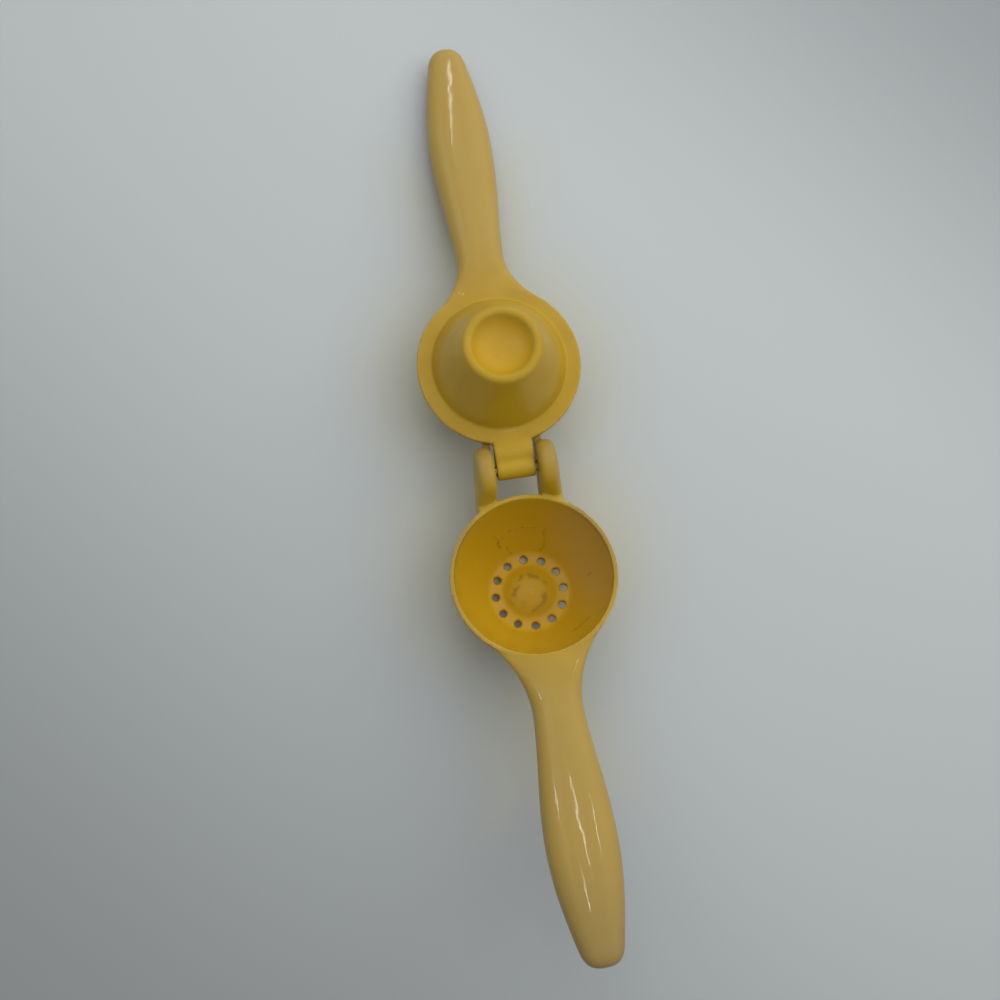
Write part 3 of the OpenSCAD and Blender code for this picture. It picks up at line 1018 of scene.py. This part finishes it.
@dataclass
class Casting:
    """A cast arm: its shells are fused into one skin, softened, aged and dressed in enamel.

    Subclasses give the node that the piece stands for, the body it rides on, its shells and its place.

    Attributes:
        layout: Where the castings lie.
        hinge: The hinge that the casting is made to.
        rim_r: Radius of the rim or the flange.
        wall: Thickness of the wall.
    """

    node: ClassVar[str]
    body: ClassVar[str]
    voxel: ClassVar[float] = 0.52
    soften: ClassVar[int] = 3
    soften_by: ClassVar[float] = 0.5
    most_triangles: ClassVar[int] = 190_000
    tolerance: ClassVar[float] = 0.01
    waves: ClassVar[tuple[Wave, ...]] = (Wave(9, 4, 0.07), Wave(17, 2, 0.08, 5.3), Wave(2.4, 1.5, 0.02, 9.1))
    lumps: ClassVar[tuple[Lump, ...]] = ()
    strokes: ClassVar[tuple[Stroke, ...]] = ()
    rings: ClassVar[tuple[RingStain, ...]] = ()
    pool: ClassVar[Pool] = Pool()
    tones: ClassVar[tuple[Tone, ...]] = (Tone(),)

    layout: Layout
    hinge: Hinge
    rim_r: float = 35.0
    wall: float = 3.0

    def shells(self) -> list[Piece]:
        """The closed shells that make up the casting."""
        raise NotImplementedError

    def place(self) -> Matrix:
        """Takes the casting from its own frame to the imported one."""
        raise NotImplementedError

    @staticmethod
    def apply_modifiers(piece: Piece) -> None:
        """Makes the piece's modifiers part of its mesh."""
        graph = bpy.context.evaluated_depsgraph_get()
        old = piece.data
        piece.data = bpy.data.meshes.new_from_object(piece.evaluated_get(graph))
        piece.modifiers.clear()
        bpy.data.meshes.remove(old)

    @classmethod
    def cut(cls, piece: Piece, cutter: Piece) -> None:
        """Cuts one shell out of another and drops the cutter."""
        boolean = piece.modifiers.new("cut", "BOOLEAN")
        boolean.operation = "DIFFERENCE"
        boolean.solver = "EXACT"
        boolean.object = cutter
        cls.apply_modifiers(piece)
        bpy.data.objects.remove(cutter)

    def fuse(self, shells: Sequence[Piece]) -> Piece:
        """Joins the shells to one skin and softens its edges."""
        def join(mesh: BMesh) -> None:
            """Takes the shells in and drops them."""
            for shell in shells:
                mesh.from_mesh(shell.data)
                bpy.data.objects.remove(shell)
        piece = make_piece(f"{self.node}_skin", join, closed=False)
        remesh = piece.modifiers.new("fuse", "REMESH")
        remesh.mode = "VOXEL"
        remesh.voxel_size = self.voxel
        remesh.use_smooth_shade = True
        smooth = piece.modifiers.new("soften", "SMOOTH")
        smooth.factor = self.soften_by
        smooth.iterations = self.soften
        self.apply_modifiers(piece)
        return piece

    def age(self, piece: Piece) -> None:
        """Gives the skin its waves and lumps, and marks where it is convex or hollow."""
        mesh = bmesh.new()
        mesh.from_mesh(piece.data)
        crest = mesh.verts.layers.float.new(CREST)
        for vert in mesh.verts:
            around = [edge.other_vert(vert).co for edge in vert.link_edges]
            middle = sum(around, Vector()) / len(around)
            reach = sum((co - vert.co).length for co in around) / len(around)
            vert[crest] = (vert.co - middle).dot(vert.normal) / (reach * reach)
        rises = [sum(layer.at(vert.co) for layer in (*self.waves, *self.lumps)) for vert in mesh.verts]
        for vert, rise in zip(mesh.verts, rises):
            vert.co += vert.normal * rise
        mesh.to_mesh(piece.data)
        mesh.free()

    def thin_out(self, piece: Piece) -> None:
        """Merges the flattest faces until the skin keeps to the most triangles that it may have."""
        decimate = piece.modifiers.new("thin_out", "DECIMATE")
        decimate.ratio = min(1.0, self.most_triangles / triangles(piece))
        self.apply_modifiers(piece)

    def build(self) -> Piece:
        """Builds the casting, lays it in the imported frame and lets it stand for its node."""
        piece = self.fuse(self.shells())
        self.age(piece)
        self.thin_out(piece)
        place = self.place()
        piece.data.transform(place)
        if place.determinant() < 0:
            piece.data.flip_normals()
        piece.data.shade_smooth()
        LOG.info("built %s with %d triangles", piece.name, triangles(piece))
        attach(piece, self.body)
        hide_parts(self.node)
        return piece

    def dress(self, piece: Piece) -> None:
        """Puts the enamel on the casting, with its own scuffs, stains and tones, some of them painted light
        and shade.
        """
        marks = (self.strokes, self.rings, self.pool, self.tones)
        Enamel(f"{self.body}_enamel", "yellow_enamel", self.place(), *marks).dress(piece)


@dataclass
class BowlArm(Casting):
    """The arm with the bowl, its drain holes and the two hinge ears."""

    node: ClassVar[str] = "bowl_arm"
    body: ClassVar[str] = "bowl"
    lumps: ClassVar[tuple[Lump, ...]] = (
        Lump((0.9, -0.7, -27.3), 3.6, 0.3, 1.5), Lump((0.2, -2.6, -27.5), 2.6, 0.2, 1.5),
    )
    strokes: ClassVar[tuple[Stroke, ...]] = (
        Stroke((-13.2, 23.9, -16.6), (-9.2, 19.9, -25.5), 0.9, 0.6, 1.4),
        Stroke((-9.2, 23.5, -20.4), (-4.9, 17.4, -30.4), 0.9, 0.45, 1.6),
        Stroke((-5.8, 25.6, -18.6), (8.4, 25.1, -18.3), 0.8, 0.5, 3.4),
        Stroke((-3.0, 25.2, -19.8), (3.6, 25.0, -20.2), 0.7, 0.4, 3.0),
        Stroke((10.9, 24.4, -17.6), (8.2, 17.9, -28.5), 1.1, 0.3, 1.6),
        Stroke((25.4, 1.7, -20.0), (27.8, 1.0, -15.5), 0.9, 0.35, 1.6),
        Stroke((14.6, -22.5, -17.4), (21.2, -19.0, -14.0), 2.0, 0.35, 2.4),
        # The next two lay a dark band just under the rim's inner edge, on the handle's side.
        Stroke((-16.3, -27.4, -5.0), (-4.0, -31.9, -3.0), 1.4, 0.35, 1.6),
        Stroke((2.9, -32.2, -2.2), (15.6, -28.3, -3.2), 1.6, 0.4, 1.6),
        Stroke((28.1, 17.0, -1.2), (29.6, 14.8, -1.2), 0.6, 0.6),
        Stroke((5.0, -6.0, -28.6), (9.8, -11.2, -31.3), 0.7, 0.4, 1.6),
    )
    rings: ClassVar[tuple[RingStain, ...]] = (RingStain(7.2, 2.4, 9.0, 0.5),)
    tones: ClassVar[tuple[Tone, ...]] = (
        # The first tone is the handles' default one. Painted shade: the second tone darkens the arm towards
        # the handle's tip.
        Tone(), Tone((0, -60, 0), 40, 100, paint(142, 119, 62), 0.9),
        # Painted light: the third tone brightens the ears and the rim between them, and takes half their
        # gloss.
        Tone((0, 37, -2), 29, 15, paint(186, 151, 12), 0.8, 0.5),
    )
    pool: ClassVar[Pool] = Pool(spots=(
        # Painted shade: the first spot darkens the floor and the mound at the bottom of the hollow, with
        # little gloss.
        Tone((0, 0, -31), 14, 9, paint(168, 130, 0), 0.9, 0.15),
        # Painted light: the second spot greys the wall at +X, as cool window light falling on it.
        Tone((34, 8, -8), 36, 14, paint(176, 143, 68), 0.8),
    ))

    handle: Handle = field(default_factory=lambda: Handle(web_angle=47, grip_w=29.0, tip_w=14.4))
    rim_land: float = 1.8
    depth: float = 31.3
    floor_t: float = 3.2
    floor_r: float = 17.4
    floor_round: float = 2.0
    bulge: float = 2.0
    mound_r: float = 12.2
    mound_h: float = 4.0
    mound_round: float = 1.6
    foot_r: float = 15.5
    foot_round: float = 6.0
    foot_side: float = 64.0
    drain_count: int = 12
    drain_r: float = 1.75
    drain_circle_r: float = 15.2
    drain_steps: int = 32
    disc_steps: int = 64

    def place(self) -> Matrix:
        """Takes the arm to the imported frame."""
        return self.layout.bowl_matrix()

    def side(self) -> list[Vector]:
        """The inside of the wall, from the rim down to the floor."""
        top = Vector((self.rim_r - self.rim_land, 0))
        return bulged(top, Vector((self.floor_r, -self.depth)), self.bulge)

    def outline(self) -> list[Corner]:
        """The bowl's section: up the inside, over the rim, down the outside and under the foot."""
        side = self.side()
        foot_height = -self.depth - self.floor_t
        foot_centre = Vector((self.foot_r, foot_height + self.foot_round))
        outside = [
            Vector((min(self.rim_r, p.x + self.wall), p.y))
            for p in side if foot_centre.y < p.y < -self.rim_land
        ]
        inside = side[-2::-1]
        foot = arc(foot_centre, self.foot_round, self.foot_side - 90, -90)
        # The mound's last points would lie inside the rounding at its edge.
        return [
            *sharp(cap(self.mound_r, self.mound_h, -self.depth)[:-2]),
            Corner(self.mound_r, -self.depth, self.mound_round),
            Corner(self.floor_r, -self.depth, self.floor_round),
            *sharp((*inside, Vector((self.rim_r, 0)), *outside, *foot)),
            Corner(0, foot_height),
        ]

    def add_cavity(self, mesh: BMesh) -> None:
        """Adds the space inside the bowl, which the handle's root stays out of."""
        mouth = self.rim_r - self.rim_land
        above = (Corner(0, self.wall), Corner(mouth, self.wall))
        Shaper.turned(mesh, [*above, *sharp(self.side()), Corner(0, -self.depth)])

    def add_drills(self, mesh: BMesh) -> None:
        """Adds the rods that cut the drain holes."""
        length = self.floor_t + 2 * self.mound_h
        middle = -self.depth - self.floor_t / 2
        for i in range(self.drain_count):
            turn = Matrix.Rotation(math.pi / 2 + math.tau * i / self.drain_count, 4, "Z")
            place = turn @ Matrix.Translation((self.drain_circle_r, 0, middle))
            Shaper.rod(mesh, self.drain_r, length, place, self.drain_steps)

    def add_disc(self, mesh: BMesh, side: int) -> list:
        """Adds an ear's disc about the pin and returns its vertices."""
        hinge = self.hinge
        known = set(mesh.verts)
        place = hinge.at_pin(side * (hinge.ear_in + hinge.ear_t / 2))
        Shaper.rod(mesh, hinge.ear_r, hinge.ear_t, place, self.disc_steps)
        for face_x in (hinge.ear_in, hinge.ear_out):
            face = {vert for vert in mesh.verts
                    if vert not in known and abs(abs(vert.co.x) - face_x) < self.tolerance}
            rim = [edge for edge in mesh.edges if face.issuperset(edge.verts)]
            Shaper.bevel(mesh, rim, hinge.ear_round, Shaper.edge_steps)
        return [vert for vert in mesh.verts if vert not in known]

    def add_ear(self, mesh: BMesh, side: int) -> None:
        """Adds one ear: a disc about the pin on a root that grows out of the wall."""
        hinge = self.hinge
        corner_r = hinge.root_round
        across = (hinge.ear_in + corner_r, hinge.ear_out - corner_r + hinge.ear_flare)
        foot_z = corner_r - hinge.root_h
        outer_r = self.rim_r + hinge.root_gap + corner_r
        inner_r = self.rim_r + corner_r * hinge.root_lift

        def balls(reach: float, z: float) -> list:
            """Two corner balls at a distance from the bowl's axis and at a height."""
            return [
                vert for x in across
                for vert in Shaper.ball(mesh, corner_r, Vector((side * x, math.sqrt(reach**2 - x * x), z)))
            ]

        Shaper.wrap(mesh, self.add_disc(mesh, side) + balls(outer_r, -corner_r) + balls(outer_r, foot_z))
        outer = balls(outer_r, -corner_r) + balls(outer_r, foot_z)
        Shaper.wrap(mesh, outer + balls(inner_r, -corner_r) + balls(self.rim_r - corner_r, foot_z))

    def add_stop(self, mesh: BMesh, side: int) -> None:
        """Adds the heel under an ear that the open flange comes to rest on."""
        hinge = self.hinge
        edge_y = math.sqrt(self.rim_r**2 - hinge.ear_in**2)
        back = hinge.seat_gap + hinge.flange_t + hinge.stop_gap
        middle_x = hinge.ear_in + hinge.stop_w / 2
        middle = Vector((middle_x, edge_y - hinge.stop_reach / 2, back + hinge.stop_t / 2))
        sizes = Matrix.Diagonal((hinge.stop_w, hinge.stop_reach, hinge.stop_t, 1))
        mirror = Matrix.Diagonal((side, 1, 1, 1))
        place = mirror @ self.layout.swing() @ Matrix.Translation(middle) @ sizes
        block = bmesh.ops.create_cube(mesh, size=1, matrix=place)["verts"]
        drop = Matrix.Translation((0, 0, -hinge.ear_r / 2))
        heel = drop @ hinge.at_pin(side * middle_x)
        Shaper.wrap(mesh, block + Shaper.rod(mesh, hinge.heel_r, hinge.stop_w, heel))

    def shells(self) -> list[Piece]:
        """The bowl, the handle, the ears and their heels."""
        bowl = make_piece("bowl", lambda mesh: Shaper.turned(mesh, self.outline()))
        self.cut(bowl, make_piece("drills", self.add_drills))
        handle = make_piece("handle", self.handle.add_to)
        self.cut(handle, make_piece("cavity", self.add_cavity))
        made = [bowl, handle]
        for side in (-1, 1):
            made.append(make_piece("ear", lambda mesh: self.add_ear(mesh, side)))
            made.append(make_piece("heel", lambda mesh: self.add_stop(mesh, side)))
        return made


@dataclass
class PressArm(Casting):
    """The arm with the hollow press, its flange and the tab that the pin goes through."""

    node: ClassVar[str] = "press_arm"
    body: ClassVar[str] = "press"
    # The dimple's deeper yellow is painted bounce light.
    pool: ClassVar[Pool] = Pool(13.9, 0, 0, 25.4, 17.7, paint(177, 139, 16))
    tones: ClassVar[tuple[Tone, ...]] = (
        Tone(), Tone((0, 0, 10), 36, 30, paint(171, 137, 22), 0.4, 0.6),
        # Painted light: the third tone brightens the tab's yellow, and takes most of its gloss.
        Tone((0, 48, -5), 19, 13, paint(178, 145, 14), 0.6, 0.12),
    )
    lumps: ClassVar[tuple[Lump, ...]] = (
        Lump((-1.2, 2.2, 20), 3.4, 0.2, 1.6), Lump((0.6, -0.6, 20), 3.2, 0.22, 1.6),
    )

    handle: Handle = field(default_factory=lambda: Handle(web_angle=52, tip_square=2.6))
    edge: float = 0.6
    base_r: float = 28.7
    height: float = 26.0
    cone_angle: float = 26.365
    lip_round: float = 1.4
    dimple_r: float = 13.3
    dimple_round: float = 1.0
    dimple_floor_r: float = 10.2
    dimple_floor_depth: float = 3.5
    dimple_floor_round: float = 1.5
    dimple_depth: float = 6.3
    tab_flat: float = 3.0
    tab_dip: float = 0.55
    tab_lean: float = 10.0
    tab_round: float = 0.9
    tab_steps: tuple[float, ...] = (0, 0.2, 0.35, 0.5, 0.62, 0.74, 0.83, 0.9, 0.96)
    barrel_steps: int = 16

    def place(self) -> Matrix:
        """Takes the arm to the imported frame."""
        return self.layout.press_matrix(self.hinge.seat_gap)

    def outline(self) -> list[Corner]:
        """The section: the dimple, the lip, down the cone, round the flange and up the hollow."""
        slope = math.tan(math.radians(self.cone_angle))
        floor = self.height - self.dimple_floor_depth
        sag = self.dimple_depth - self.dimple_floor_depth
        top = self.height - self.dimple_depth - self.wall
        mouth = self.base_r - self.wall / math.cos(math.radians(self.cone_angle))
        back = -self.hinge.flange_t
        # The last points of the dimple's floor would lie inside the rounding at its edge.
        return [
            *sharp(cap(self.dimple_floor_r, -sag, floor)[:-3]),
            Corner(self.dimple_floor_r, floor, self.dimple_floor_round),
            Corner(self.dimple_r, self.height, self.dimple_round),
            Corner(self.base_r - self.height * slope, self.height, self.lip_round),
            Corner(self.base_r, 0),
            Corner(self.rim_r, 0, self.edge),
            Corner(self.rim_r, back, self.edge),
            Corner(mouth, back),
            Corner(mouth, 0),
            Corner(mouth - top * slope, top),
            Corner(0, top),
        ]

    def add_tab(self, mesh: BMesh) -> None:
        """Adds the tab: flush with the flange at first, it dips and then rises to the pin's barrel."""
        hinge = self.hinge
        pin = Vector((hinge.pin_y, hinge.seat_gap - hinge.pin_z))
        start_y = self.rim_r - hinge.flange_t
        flat_y = self.rim_r + self.tab_flat
        barrel = arc(pin, hinge.barrel_r, 90 + self.tab_lean, -90, self.barrel_steps)
        dip = [
            Vector((flat_y + (barrel[0].x - flat_y) * u,
                    barrel[0].y * ease(u) - self.tab_dip * math.sin(math.pi * u**2)))
            for u in self.tab_steps
        ]
        side = [
            Vector((start_y, 0)), *dip, *barrel,
            Vector((flat_y, pin.y - hinge.barrel_r / 2)), Vector((start_y, -hinge.flange_t)),
        ]
        face = mesh.faces.new([mesh.verts.new((-hinge.tab_w / 2, p.x, p.y)) for p in side])
        made = bmesh.ops.extrude_face_region(mesh, geom=[face])["geom"]
        bmesh.ops.translate(mesh, verts=only(BMVert, made), vec=(hinge.tab_w, 0, 0))
        outer = [edge for edge in mesh.edges
                 if abs(edge.verts[0].co.x - edge.verts[1].co.x) < self.tolerance]
        Shaper.bevel(mesh, outer, self.tab_round, Shaper.edge_steps)

    def add_pin_drill(self, mesh: BMesh) -> None:
        """Adds the rod that bores the tab for the pin."""
        hinge = self.hinge
        place = self.layout.upside_down(hinge.seat_gap) @ hinge.at_pin(0)
        Shaper.rod(mesh, hinge.pin_r + hinge.clearance, 2 * hinge.tab_w, place)

    def shells(self) -> list[Piece]:
        """The press with its flange, the handle and the bored tab."""
        press = make_piece("press", lambda mesh: Shaper.turned(mesh, self.outline()))
        tab = make_piece("tab", self.add_tab)
        self.cut(tab, make_piece("pin_drill", self.add_pin_drill))
        return [press, make_piece("handle", self.handle.add_to), tab]


@dataclass(frozen=True)
class HingePin:
    """The steel pin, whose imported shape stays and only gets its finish."""

    node: str = "hinge_pin"
    finish: DrawnSteel = DrawnSteel("drawn_steel", "pin_steel")

    def dress(self) -> None:
        """Puts the steel on the pin."""
        self.finish.dress(frame["nodes"][self.node])
        LOG.info("dressed %s", self.node)


# ---- the studio ----


class LampShape(Enum):
    """The shapes of the studio's lamps."""

    LONG = "RECTANGLE"
    OVAL = "ELLIPSE"


@dataclass(frozen=True)
class Lamp:
    """A soft lamp that looks at the squeezer.

    Attributes:
        name: The lamp's name.
        lean: How far it hangs from the vertical towards +X and towards +Y, in degrees.
        size: Its width and its length, in metres.
        power: Its power, in watts.
        turn: How far it is turned in its own plane, in degrees.
        shape: Its shape.
        height: Its height, in metres.
        mirrored: Whether glossy surfaces show it.
    """

    name: str
    lean: tuple[float, float]
    size: tuple[float, float]
    power: float
    turn: float = 0.0
    shape: LampShape = LampShape.OVAL
    height: float = 1.4
    mirrored: bool = True

    def build(self) -> None:
        """Hangs the lamp."""
        data = bpy.data.lights.new(self.name, "AREA")
        data.shape = self.shape.value
        data.size, data.size_y = self.size
        data.energy = self.power
        lamp = bpy.data.objects.new(self.name, data)
        across, along = (math.tan(math.radians(angle)) for angle in self.lean)
        place = Vector((across, along, 1)) * self.height
        aim = place.to_track_quat("Z", "Y").to_matrix().to_4x4()
        turn = Matrix.Rotation(math.radians(self.turn), 4, "Z")
        lamp.matrix_world = Matrix.Translation(place) @ aim @ turn
        lamp.visible_glossy = self.mirrored
        bpy.context.scene.collection.objects.link(lamp)


@dataclass(frozen=True)
class Studio:
    """The camera, the lamps, the room's light and the table top, in metres and degrees.

    Attributes:
        nearest: Distance from which the camera sees.
        sky_swing: How much brighter the room is on its bright side, as a share.
        sky_side: Direction of that side.
        dim_side: Direction of the part that is dim.
        dim_reach: Angles from it at which the dimming begins and is full.
        dim_depth: Share of the light that is missing there.
    """

    camera_place: Place = (-0.04597, -0.04039, 0.47049)
    camera_turn: Place = (4.2975, -4.2374, -8.9766)
    lens: float = 37.8
    sensor: float = 36.0
    nearest: float = 0.01
    top_size: float = 4.0
    sky_strength: float = 0.4
    sky_swing: float = 0.22
    sky_side: Place = (0.707, 0.707, 0)
    dim_side: Place = (0.079, 0.421, 0.903)
    dim_reach: tuple[float, float] = (38.0, 14.0)
    dim_depth: float = 0.85
    lamps: tuple[Lamp, ...] = (
        Lamp("key_lamp", (26, 28), (1.3, 1.3), 7.0, height=0.6, mirrored=False),
        Lamp("window", (-31, 26), (0.9, 1.3), 2.4, shape=LampShape.LONG),
        Lamp("left_lamp", (-31, 10), (0.02, 0.14), 0.24),
        Lamp("middle_lamp", (6, 6.7), (0.02, 0.16), 0.30, 66),
        Lamp("right_lamp", (28.6, 6.2), (0.02, 0.10), 0.22, 66),
        Lamp("front_lamp", (-2.5, 2.2), (0.02, 0.06), 0.12, 70),
        Lamp("back_lamp", (3.2, 43.6), (0.02, 0.58), 1.1, -68),
    )

    def build(self) -> None:
        """Sets up the studio."""
        scene = bpy.context.scene
        scene.view_settings.view_transform = "Standard"
        data = bpy.data.cameras.new("camera")
        data.lens = self.lens
        data.sensor_width = self.sensor
        data.clip_start = self.nearest
        camera = bpy.data.objects.new("camera", data)
        camera.location = self.camera_place
        camera.rotation_euler = Euler([math.radians(angle) for angle in self.camera_turn])
        scene.collection.objects.link(camera)
        scene.camera = camera
        for lamp in self.lamps:
            lamp.build()
        self.light_room(scene)
        self.lay_top()

    def light_room(self, scene: bpy.types.Scene) -> None:
        """Gives the room its light: brighter on one side, dim where someone leans over the table."""
        world = bpy.data.worlds.new("room")
        world.use_nodes = True
        sheet = NodeSheet(world.node_tree)
        direction = sheet.add("ShaderNodeTexCoord").outputs["Generated"]
        side = sheet.vector("DOT_PRODUCT", direction, self.sky_side)
        swing = sheet.math("MULTIPLY", side, self.sky_strength * self.sky_swing)
        bright = sheet.math("ADD", swing, self.sky_strength)
        near = sheet.vector("DOT_PRODUCT", direction, self.dim_side)
        edge, core = (math.cos(math.radians(angle)) for angle in self.dim_reach)
        dimmed = sheet.span(near, edge, core, 1, 1 - self.dim_depth)
        light = sheet.math("MULTIPLY", bright, dimmed)
        sheet.fill(world.node_tree.nodes["Background"], Strength=light, Color=(1, 1, 1, 1))
        scene.world = world

    def lay_top(self) -> None:
        """Lays the table top under the squeezer."""
        def spread(mesh: BMesh) -> None:
            """Adds one square."""
            bmesh.ops.create_grid(mesh, x_segments=1, y_segments=1, size=self.top_size / 2)
        top = make_piece("table_top", spread, closed=False)
        PaleTop("pale_top", None).dress(top)


def main() -> None:
    """Builds the studio, the castings and the pin, and dresses them."""
    logging.basicConfig(level=logging.INFO, format="%(name)s: %(message)s")
    hinge = Hinge()
    layout = Layout.from_record(frame["record"], Vector((0, hinge.pin_y, hinge.pin_z)))
    Studio().build()
    for casting in (BowlArm(layout, hinge), PressArm(layout, hinge)):
        casting.dress(casting.build())
    HingePin().dress()


if __name__ == "__main__":
    main()
